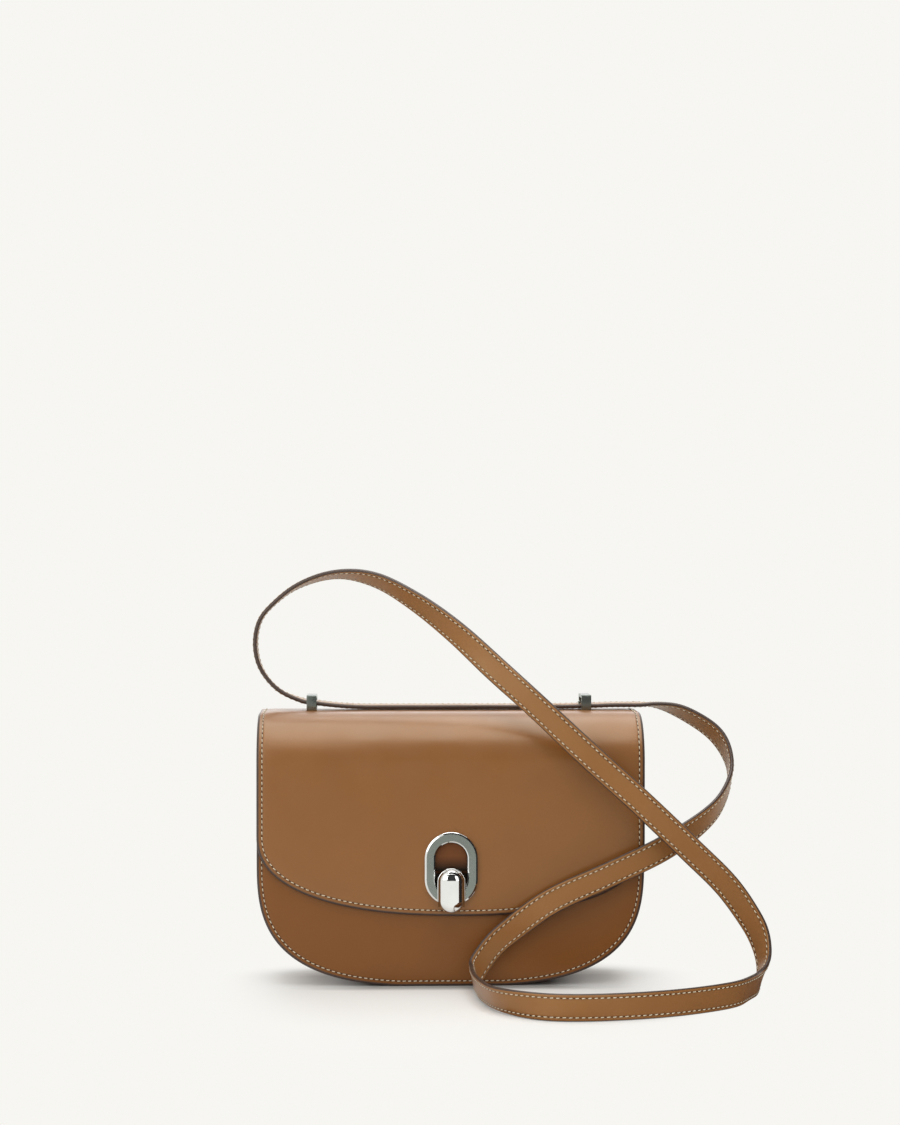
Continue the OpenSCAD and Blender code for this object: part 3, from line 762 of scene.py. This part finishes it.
# The barrel round the pin stays under the plate's round head and off the inlay.
BARREL_HALF, BARREL_BACK, BARREL_UNDER, BARREL_SIDES, STATIONS = 5.4, 1.3, 0.15, 32, 13
points = []
for x in np.linspace(-BARREL_HALF, BARREL_HALF, STATIONS):
    head = plate_top - PLATE_HALF + math.sqrt(PLATE_HALF ** 2 - x * x) - BARREL_UNDER - PIN_Z
    for k in range(BARREL_SIDES):
        a = 2 * math.pi * k / BARREL_SIDES
        points.append((x, PIN_Y + min(RISE * math.cos(a), BARREL_BACK),
                       PIN_Z + min(RISE * math.sin(a), head)))
barrel = build("capsule_barrel", points, tube_faces(STATIONS, BARREL_SIDES), [chrome])

# The capsule itself, domed, with its top rolled back into a hood.
CAP_HALF, CAP_L, CAP_T, CAP_SIDES, CAP_BACK = 6.6, 22.5, 3.0, 192, 0.6
CAP_INSETS = [0.0, 0.03, 0.1, 0.22, 0.4, 0.65, 0.95, 1.3, 1.7, 2.1, 2.6, 3.1, 3.7, 4.3, 5.0, 5.8,
              CAP_HALF]
HOOD_Z, HOOD_SHARE = 63.2, 0.72
cap_top, cap_foot = PIN_Z + RISE - PLATE_OVER, PIN_Z - CAP_L
cap_mid, cap_straight = (cap_top + cap_foot) / 2, (cap_top - cap_foot) / 2 - CAP_HALF
points = []
for d in CAP_INSETS:
    r = CAP_HALF - d
    for k in range(CAP_SIDES):
        a = 2 * math.pi * k / CAP_SIDES
        z = cap_mid + (r * math.sin(a) + cap_straight * (k > 0) * np.sign(CAP_SIDES / 2 - k))
        height = CAP_T * (1 - (1 - d / CAP_HALF) ** 2.2) ** 0.5
        if z > HOOD_Z:
            roll = (z - HOOD_Z) / (cap_top - HOOD_Z)
            height = min(height, CAP_T * (1 - HOOD_SHARE * roll ** 1.6))
        points.append((r * math.cos(a), plate_front - height, z))
points = [(x, plate_front + CAP_BACK, z) for x, _, z in points[:CAP_SIDES]] + points
pill = build("capsule_front", points, tube_faces(len(CAP_INSETS) + 1, CAP_SIDES), [chrome], None,
             50.0)

# A dark brown strip of painted shade runs between the capsule and the plate's rim, up to the hood. Its
# profile is the distance from the capsule, the share of the width, and the height.
PROFILE = [(-0.25, 0, 0.03), (0.12, 0, 0.05), (0.12, 1, 0.05), (0.16, 1, -0.05), (-0.25, 0, -0.05)]
CHANNEL_W, CHANNEL_NARROW, CHANNEL_LOW = 0.72, 0.6, 3.2
turns = np.radians(range(0, 49, 4))
way = [(0.0, cap_mid - cap_straight - CHANNEL_LOW, 1.0), (0.0, cap_mid, 1.0)]
way += [(a, cap_mid + cap_straight, 1.0 - CHANNEL_NARROW * a / turns[-1]) for a in turns]
points, faces = [], []
for side in (-1, 1):
    first = len(points)
    for a, z, wide in way:
        for off, share, lift in PROFILE:
            r = CAP_HALF + off + CHANNEL_W * share * wide
            points.append((side * r * math.cos(a), plate_front - lift, z + r * math.sin(a)))
    for f in tube_faces(len(way), len(PROFILE)):
        faces.append(tuple(first + v for v in (f if side == 1 else f[::-1])))
channel = build("capsule_channel", points, faces, [channel_shade_paint])
declare(pill, "bright_metal", "capsule", "capsule")
for obj in (plate, barrel, channel):
    declare(obj, "bright_metal", "capsule")


# The strap loops
def rounded_box(half, low, high, r, count=5):
    """Outline in y and z of a box with round corners, on the top at the loops."""
    out = []
    y0, y1, z0, z1 = LOOP_Y - half + r, LOOP_Y + half - r, BAG_H + low + r, BAG_H + high - r
    for y, z, start in ((y1, z1, 0), (y0, z1, 90), (y0, z0, 180), (y1, z0, 270)):
        for k in range(count):
            a = math.radians(start + 90 * k / (count - 1))
            out.append((y + r * math.cos(a), z + r * math.sin(a)))
    return out


loop_x_span, loop_y_span, _ = spans("right_strap_loop")
LOOP_X, LOOP_Y, LOOP_W = middle(loop_x_span), middle(loop_y_span), length(loop_x_span)
# Half the depth, foot and top over the bag, and corner radius.
LOOP_OUTSIDE, LOOP_INSIDE = (10.0, 0.0, 8.8, 0.55), (8.0, 0.8, 7.0, 0.5)
for side, x in (("left", -LOOP_X), ("right", LOOP_X)):
    x0, x1 = x - LOOP_W / 2, x + LOOP_W / 2
    rings = ((x0, LOOP_OUTSIDE), (x1, LOOP_OUTSIDE), (x1, LOOP_INSIDE), (x0, LOOP_INSIDE))
    points = [(end, y, z) for end, box in rings for y, z in rounded_box(*box)]
    obj = build(side + "_loop_metal", points, torus_faces(4, len(points) // 4), [satin, satin_painted_shade])
    # The loops' top faces take the darker satin, painted shade.
    for p in obj.data.polygons:
        p.material_index = 1 if p.normal.z > 0.5 else 0
    add_bevel(obj, 0.15, 2, 60)
    declare(obj, "satin_metal", "bag", side + "_strap_loop")

# The stop stud beside the right loop, turned: radius and height over the strap.
stud_x_span, stud_y_span, (STUD_Z, _) = spans("strap_stop_stud")
STUD_SIDES = 24
turned = [(0.01, 0.0), (0.62, 0.0), (0.55, 0.25), (0.5, 0.7), (0.72, 0.95), (0.8, 1.25),
          (0.74, 1.55), (0.5, 1.75), (0.01, 1.8)]
points = [(middle(stud_x_span) + r * math.cos(a), middle(stud_y_span) + r * math.sin(a), STUD_Z + h)
          for r, h in turned for a in np.arange(STUD_SIDES) * 2 * math.pi / STUD_SIDES]
stud = build("stop_stud_metal", points, tube_faces(len(turned), STUD_SIDES), [satin])
declare(stud, "satin_metal", "bag", "strap_stop_stud")

# The strap's route. Shares of half the width, of the depth and of the height, then the
# direction across the strap from its front edge to its back edge, as in the frame.
ROUTE = [
    [-0.8964, 0.0002, 1.0579, 0, 1, -0.1],
    [-0.9745, -0.0002, 1.1179, 0, 1, -0.1],
    [-1.0138, 0.0098, 1.1791, 0, 1, -0.05],
    [-1.0263, 0.0099, 1.25, 0, 1, 0],
    [-1.0125, 0.0201, 1.3144, 0, 1, 0],
    [-0.9715, 0.0299, 1.371, 0, 1, 0],
    [-0.8197, 0.05, 1.4646, 0, 1, -0.1],
    [-0.6105, 0.09, 1.5154, 0.17, 0.955, -0.244],
    [-0.3949, 0.1803, 1.496, 0.059, 0.803, -0.593],
    [-0.1837, 0.3404, 1.4124, -0.198, 0.632, -0.749],
    [0.0261, 0.5303, 1.2956, -0.461, 0.403, -0.791],
    [0.2279, 0.7149, 1.1583, -0.636, 0.127, -0.761],
    [0.4374, 0.8849, 1.0179, -0.618, 0.235, -0.75],
    [0.7266, 0.9998, 0.8173, -0.676, 0.025, -0.737],
    [0.9609, 1.05, 0.6607, -0.692, 0, -0.722],
    [1.2135, 1.0702, 0.4827, -0.694, 0.002, -0.72],
    [1.4039, 1.0502, 0.3424, -0.764, 0.097, -0.637],
    [1.5354, 1.0303, 0.2024, -0.787, 0.433, -0.439],
    [1.5739, 1.0399, 0.1298, -0.646, 0.717, -0.26],
    [1.5862, 1.0798, 0.0648, -0.357, 0.831, -0.426],
    [1.5661, 1.1776, 0.02, -0.228, 0.607, -0.761],
    [1.5396, 1.3088, 0.002, -0.17, 0.12, -0.98],
    [1.4771, 1.5689, 0.001, -0.18, 0.1, -0.98],
    [1.3513, 1.9153, 0, -0.04, 0.03, -1.0],
    [1.0528, 2.2611, 0, 0, 0, -1.0],
    [0.6954, 2.4411, 0, 0, 0, -1.0],
    [0.4153, 2.4006, 0, 0, -0.001, -1.0],
    [0.2089, 2.0636, 0.001, 0.27, 0.158, -0.95],
    [0.1316, 1.5962, 0.003, 0.264, 0.059, -0.963],
    [0.1128, 1.2158, 0.004, 0.246, 0.005, -0.969],
    [0.1135, 1.006, 0.007, 0.255, 0.315, -0.914],
    [0.1412, 0.8765, 0.0404, 0.717, 0.39, -0.578],
    [0.2098, 0.8633, 0.1075, 0.688, 0.295, -0.663],
    [0.2789, 0.8699, 0.1558, 0.588, 0.189, -0.786],
    [0.5033, 0.8802, 0.2759, 0.493, -0.14, -0.859],
    [0.812, 0.8901, 0.3816, 0.41, 0.078, -0.909],
    [1.0912, 0.8495, 0.4775, 0.402, 0.18, -0.898],
    [1.319, 0.6294, 0.5738, 0.252, 0.5, -0.829],
    [1.4328, 0.4496, 0.6573, 0.14, 0.739, -0.659],
    [1.4839, 0.2702, 0.7654, -0.016, 0.871, -0.491],
    [1.4234, 0.1302, 0.8823, -0.257, 0.795, -0.549],
    [1.2612, 0.0501, 0.9668, -0.099, 0.836, -0.539],
    [1.12, 0.01, 1.0, -0.1, 1, -0.18]]
BAG_D, FLOOR_Z = BACK_Y - FRONT_Y, STRAP_W / 2 + 0.2


def row_3d(r):
    side = np.array(r[3:6], float)
    side /= np.linalg.norm(side)
    return [r[0] * HALF_W, LOOP_Y - r[1] * BAG_D, FLOOR_Z + r[2] * (RUN_Z - FLOOR_Z), *side]


RUN_SAG, LEFT_RISE, RIGHT_RISE = 0.4, 3.6, 0.9


def run_z(x):
    """The run sags between the loops and rises to the arch at its left end."""
    left, right = np.clip([(-x - 45.0) / 40.0, (x - 50.0) / 45.0], 0.0, 1.0)
    return RUN_Z - RUN_SAG + LEFT_RISE * left ** 2 + RIGHT_RISE * right ** 2


def smooth_route(rows, per_gap=16):
    """A closed curve through all the rows, with this many places in each gap."""
    p0, p1, p2, p3 = (np.roll(rows, -k, axis=0)[:, None] for k in (-1, 0, 1, 2))
    t = (np.arange(per_gap) / per_gap)[:, None]
    dense = 0.5 * (2 * p1 + (p2 - p0) * t + (2 * p0 - 5 * p1 + 4 * p2 - p3) * t * t
                   + (3 * p1 - p0 - 3 * p2 + p3) * t ** 3)
    return np.vstack([dense.reshape(-1, 6), rows[:1]])


STRAP_STEP, EASE_REACH, EASE_WIDTH, RUN_BLEND = 1.4, 9, 3.2, 14.0
run_rows = [[x, LOOP_Y, run_z(x), 0, 1, 0] for x in spaced(RUN_RIGHT, RUN_LEFT, 6.0)]
dense = smooth_route(np.array(run_rows + [row_3d(r) for r in ROUTE], float))
run = np.concatenate([[0], np.cumsum(np.linalg.norm(np.diff(dense[:, :3], axis=0), axis=1))])
STRAP_L = run[-1]
N = int(round(STRAP_L / STRAP_STEP))
at = np.arange(N) * STRAP_L / N
strap_rows = np.stack([np.interp(at, run, dense[:, k]) for k in range(6)], axis=1)


def ease(rows):
    """Each row's mean with its neighbours, the near ones counting more."""
    reach = np.arange(-EASE_REACH, EASE_REACH + 1)
    weights = np.exp(-0.5 * (reach / EASE_WIDTH) ** 2)
    return sum(w * np.roll(rows, -k, axis=0) for k, w in zip(reach, weights / weights.sum()))


# The route is eased a little, apart from the length that lies in the loops.
eased = ease(strap_rows)
eased = eased + (eased - ease(eased))
from_run = np.minimum(np.maximum(at - (RUN_RIGHT - RUN_LEFT), 0),
                      np.where(at > STRAP_L / 2, STRAP_L - at, np.inf))
keep = (1 - smooth(0.0, RUN_BLEND, from_run))[:, None]
strap_rows = strap_rows * keep + eased * (1 - keep)
centre = strap_rows[:, :3]
tangent = unit(np.roll(centre, -1, axis=0) - np.roll(centre, 1, axis=0))
across = strap_rows[:, 3:]
across = unit(across - tangent * (across * tangent).sum(1)[:, None])
up = np.cross(tangent, across)
# Nothing of the strap goes below the floor.
low = centre[:, 2] - np.abs(across[:, 2]) * STRAP_W / 2 - np.abs(up[:, 2]) * STRAP_T / 2
centre[:, 2] += np.maximum(0.15 - low, 0)

# The strap's section, once round it: across, up, how much stain, and whether painted.
STRAP_SEW, STRAP_PITCH, EDGE_R = 5.05, 3.3, STRAP_T / 2
FLAT = STRAP_W / 2 - EDGE_R
half_face = [0.0, 1.9, 3.6, 4.35, 4.7, STRAP_SEW, 5.4, 5.75, FLAT]
section = []
for side in (1, -1):
    for v in [-v for v in half_face[:0:-1]] + half_face:
        groove = 0.14 * math.exp(-((abs(v) - STRAP_SEW) / 0.38) ** 2)
        stain = 0.6 * math.exp(-((abs(v) - STRAP_SEW) / 0.5) ** 2)
        section.append((side * v, side * (EDGE_R - groove), stain, 0))
    for a in np.radians([60, 30, 0, -30, -60]):
        section.append((side * (FLAT + EDGE_R * math.cos(a)), side * EDGE_R * math.sin(a), 0, 1))
section = np.array(section)
painted = [bool(a and b) for a, b in zip(section[:, 3], np.roll(section[:, 3], -1))]
all_rings = centre[:, None] + section[:, :2] @ np.stack([across, up], axis=1)


def strap_piece(name, first, last):
    """Part of the strap, open at its ends, with the whole strap's normals."""
    ids = np.arange(first, last + 1) % N
    m = len(section)
    points = all_rings[ids].reshape(-1, 3)
    faces = [(a, d, c, b) for a, b, c, d in grid_faces(len(ids), m)]
    index = [1 if p else 0 for p in painted] * (len(ids) - 1)
    obj = build(name, points, faces, [strap_tan, strap_edge], index, None,
                np.tile(section[:, 2], len(ids)), closed=False)
    ahead = all_rings[(ids + 1) % N] - all_rings[(ids - 1) % N]
    round_it = np.roll(all_rings[ids], -1, axis=1) - np.roll(all_rings[ids], 1, axis=1)
    normals = unit(np.cross(ahead, round_it).reshape(-1, 3))
    obj.data.normals_split_custom_set_from_vertices(normals.tolist())
    return obj


def strap_sewing(name, first, last):
    """Both rows of stitches on both faces of a part of the strap."""
    step = STRAP_L / N
    s = np.arange(*(math.ceil(k * step / STRAP_PITCH) for k in (first, last))) * STRAP_PITCH / step
    before = np.floor(s).astype(int)
    f = (s - before)[:, None]
    c, t, a, u = (v[before % N] * (1 - f) + v[(before + 1) % N] * f
                  for v in (centre, tangent, across, up))
    places = [(row, face) for row in (-STRAP_SEW, STRAP_SEW) for face in (-1, 1)]
    centres = np.vstack([c + row * a + face * (EDGE_R - 0.12) * u for row, face in places])
    normals = np.vstack([face * u for _, face in places])
    return sew(name, centres, np.vstack([t] * len(places)), normals, STRAP_PITCH)


LIMB_TOP_Z, LIMB_END_X = 206.0, 141.0
run_end = next(i for i in range(N) if centre[i][0] <= RUN_LEFT)
left_end = next(i for i in range(run_end, N) if centre[i][2] >= LIMB_TOP_Z)
right_start = next(i for i in reversed(range(N)) if centre[i][0] >= LIMB_END_X)
pieces = [("run", 0, run_end, "bag", None),
          ("left_limb", run_end, left_end, None, ((0, 0.014, 0.162), (0, 0.014, 0.200))),
          ("long_loop", left_end, right_start, "strap", None),
          ("right_limb", right_start, N, None, ((0.112, 0.014, 0.156), (0.135, 0.014, 0.156)))]
replaced = {"strap_run": "strap_top_run", "strap_long_loop": "strap"}
for name, first, last, body, ends in pieces:
    for obj in (strap_piece("strap_" + name, first, last), strap_sewing("stitches_" + name, first, last)):
        if body:
            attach(obj, body)
        else:
            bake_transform(obj)
        if obj.name in replaced:
            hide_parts(replaced[obj.name])

# The frame's own nodes
looks = {"top_board": board, "closing_magnet": steel, "ring_backplate": steel,
         "capsule_pin": pin_shade_paint, "left_loop_backplate": satin, "right_loop_backplate": satin,
         "loop_screws": satin}
for node, mat in looks.items():
    for material_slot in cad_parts[node].material_slots:
        material_slot.material = mat

# The studio, in metres
BACKGROUND = srgb(247, 246, 242)


def reckon(tree, operation, a, b, clamp=False):
    return add(tree, "Math", {0: a, 1: b}, operation=operation, use_clamp=clamp).outputs[0]


def seen_or_mirrored(tree):
    """1 for rays from the camera, from gloss or through glass."""
    path = add(tree, "LightPath", {}).outputs
    total = reckon(tree, "ADD", path["Is Camera Ray"], path["Is Glossy Ray"], True)
    return reckon(tree, "ADD", total, path["Is Transmission Ray"], True)


world = bpy.data.worlds.new("studio")
scene.world = world
world.use_nodes = True
tree = world.node_tree
tree.nodes.clear()
shown = add(tree, "Background", {"Color": BACKGROUND})
lit = add(tree, "Background", {"Color": (1.0, 0.995, 0.985, 1.0), "Strength": 0.14})
choose = add(tree, "MixShader", {0: seen_or_mirrored(tree), 1: lit.outputs[0], 2: shown.outputs[0]})
add(tree, "OutputWorld", {"Surface": choose.outputs[0]})


SET_MIDDLE = (0.0, 0.0, 0.1)
# Each light's name, place, aim, size and power.
LIGHTS = [("overhead", (0.0, -0.05, 1.30), (0.0, -0.05, 0.0), (0.9, 1.9), 17.5),
          ("key", (0.25, -1.6, 1.0), SET_MIDDLE, (1.5, 1.5), 8.2),
          ("right_fill", (0.95, -1.2, 0.45), SET_MIDDLE, (1.0, 1.0), 2.4),
          ("fill", (-0.9, -1.3, 0.7), SET_MIDDLE, (1.1, 1.1), 7.5)]
for name, place, aim, size, power in LIGHTS:
    light = bpy.data.lights.new(name, "AREA")
    light.shape, light.energy = "RECTANGLE", power
    light.size, light.size_y = size
    obj = linked(name, light)
    obj.location = place
    obj.rotation_euler = (Vector(aim) - Vector(place)).to_track_quat("-Z", "Y").to_euler()


def card(name, near, far, level, colour=(1.0, 1.0, 1.0, 1.0)):
    """A board between two lines of corners that only reflections and gloss see."""
    mesh = bpy.data.meshes.new(name)
    n = len(near)
    mesh.from_pydata(near + far, [], [(i, i + 1, n + i + 1, n + i) for i in range(n - 1)])
    mat, tree, shader, where = start_material(name)
    strength = spread(tree, noise(tree, where, 3.0), level * 0.9, level * 1.1)
    glow = add(tree, "Emission", {"Color": colour, "Strength": strength})
    put(tree, tree.nodes["Material Output"], {"Surface": glow.outputs[0]})
    mesh.materials.append(mat)
    obj = linked(name, mesh)
    obj.visible_camera = obj.visible_diffuse = obj.visible_shadow = False


FOOT, BAR_FOOT, NEAR_LEFT, NEAR_RIGHT = 0.0005, 0.62, (0.15, -0.215), (0.236, -0.01)
# Each upright board's two ends, foot, top, strength and, if not white, colour.
BOARDS = {"front_board_card": ((-0.35, -1.15), (0.42, -1.15), FOOT, BAR_FOOT, 0.04),
          "front_bar_card": ((-0.72, -1.15), (0.82, -1.15), BAR_FOOT, 0.86, 0.025),
          "right_board_card": ((0.40, -0.50), (0.44, -0.12), FOOT, 0.5, 0.02),
          "near_right_card": (NEAR_LEFT, NEAR_RIGHT, FOOT, 0.30, 1.0, srgb(58, 34, 22)),
          "rear_bright_card": ((-0.7, 1.0), (0.7, 1.0), 0.26, 1.0, 2.0)}
for name, (left, right, foot, top, *light) in BOARDS.items():
    card(name, [(*left, foot), (*right, foot)], [(*left, top), (*right, top)], *light)
ON_FLOOR = 0.0008
card("floor_card", [(*p, ON_FLOOR) for p in ((0.020, -0.116), (0.094, -0.196), NEAR_LEFT)],
     [(*p, ON_FLOOR) for p in ((0.049, -0.065), (0.104, -0.0245), NEAR_RIGHT)],
     1.0, srgb(74, 44, 26))


def mirrored(tilt, turn):
    """The point that a facet of the ring, tilted and turned so, mirrors to the front."""
    distance = 0.18
    to = np.array([0.03, 0.99, -0.135])
    n = np.array([math.sin(turn) * math.sin(tilt), -math.cos(tilt), math.cos(turn) * math.sin(tilt)])
    way = to - 2 * (to @ n) * n
    return tuple(np.array([0.0, -0.036, RING_Z * MM]) + distance * way)


turns = np.radians(np.linspace(-18, 104, 24))
card("arc_card", *([mirrored(math.radians(tilt), a) for a in turns] for tilt in (23, 37)), 0.02)

# A pale floor that keeps the shadow and turns into the plain background further out.
FLOOR_HALF = 6
floor_mesh = bpy.data.meshes.new("floor")
corners = [(x * FLOOR_HALF, y * FLOOR_HALF, 0) for x, y in ((-1, -1), (1, -1), (1, 1), (-1, 1))]
floor_mesh.from_pydata(corners, [], [(0, 1, 2, 3)])
floor = linked("floor", floor_mesh)
mat, tree, shader, where = start_material("floor")


def vector_math(operation, *values):
    node = add(tree, "VectorMath", dict(enumerate(values)), operation=operation)
    return node.outputs["Value" if operation == "LENGTH" else "Vector"]


FOOT_SHIFT, FOOT_HALF_X, FOOT_HALF_Y = (-0.006, 0.017, 0.0), 0.050, 0.018


def reach_from_base(front, back):
    """Distance from the foot, stretched by these factors before and behind it."""
    at = vector_math("ADD", where, FOOT_SHIFT)
    ahead = vector_math("MULTIPLY", at, (0.0, -1.0, 0.0))
    total = (0.0, 0.0, 0.0)
    for way, half, factors in ((vector_math("ABSOLUTE", at), (FOOT_HALF_X, 1.0, 0.0), (1.0, 0.0, 0.0)),
                               (ahead, (1.0, FOOT_HALF_Y, 0.0), (0.0, front, 0.0)),
                               (at, (1.0, FOOT_HALF_Y, 0.0), (0.0, back, 0.0))):
        gap = vector_math("MAXIMUM", vector_math("SUBTRACT", way, half), (0.0, 0.0, 0.0))
        total = vector_math("ADD", total, vector_math("MULTIPLY", gap, factors))
    return vector_math("LENGTH", total)


# The floor's colour is darker at the foot, a painted contact shadow, and all background from the far
# reach on.
FOOT_REACH, NEAR_REACH, FAR_REACH, NEAR_SHARE = 0.05, 0.024, 0.092, 0.2
painted_foot_shadow = spread(tree, reach_from_base(6.0, 6.0), 0.0, 1.0, 0.0, FOOT_REACH)
put(tree, shader, {"Base Color": mix(tree, srgb(168, 167, 164), srgb(236, 235, 231), painted_foot_shadow),
                   "Roughness": 0.9, "Specular IOR Level": 0.1})
near = spread(tree, reach_from_base(1.0, 1.8), 0.0, NEAR_SHARE, 0.0, NEAR_REACH)
far = spread(tree, reach_from_base(0.45, 1.8), 0.0, 1.0 - NEAR_SHARE, NEAR_REACH, FAR_REACH)
far.node.interpolation_type = "SMOOTHSTEP"
shown = reckon(tree, "MULTIPLY", reckon(tree, "ADD", near, far), seen_or_mirrored(tree))
shine = add(tree, "Emission", {"Color": BACKGROUND})
choose = add(tree, "MixShader", {0: shown, 1: shader.outputs[0], 2: shine.outputs[0]})
put(tree, tree.nodes["Material Output"], {"Surface": choose.outputs[0]})
floor.data.materials.append(mat)
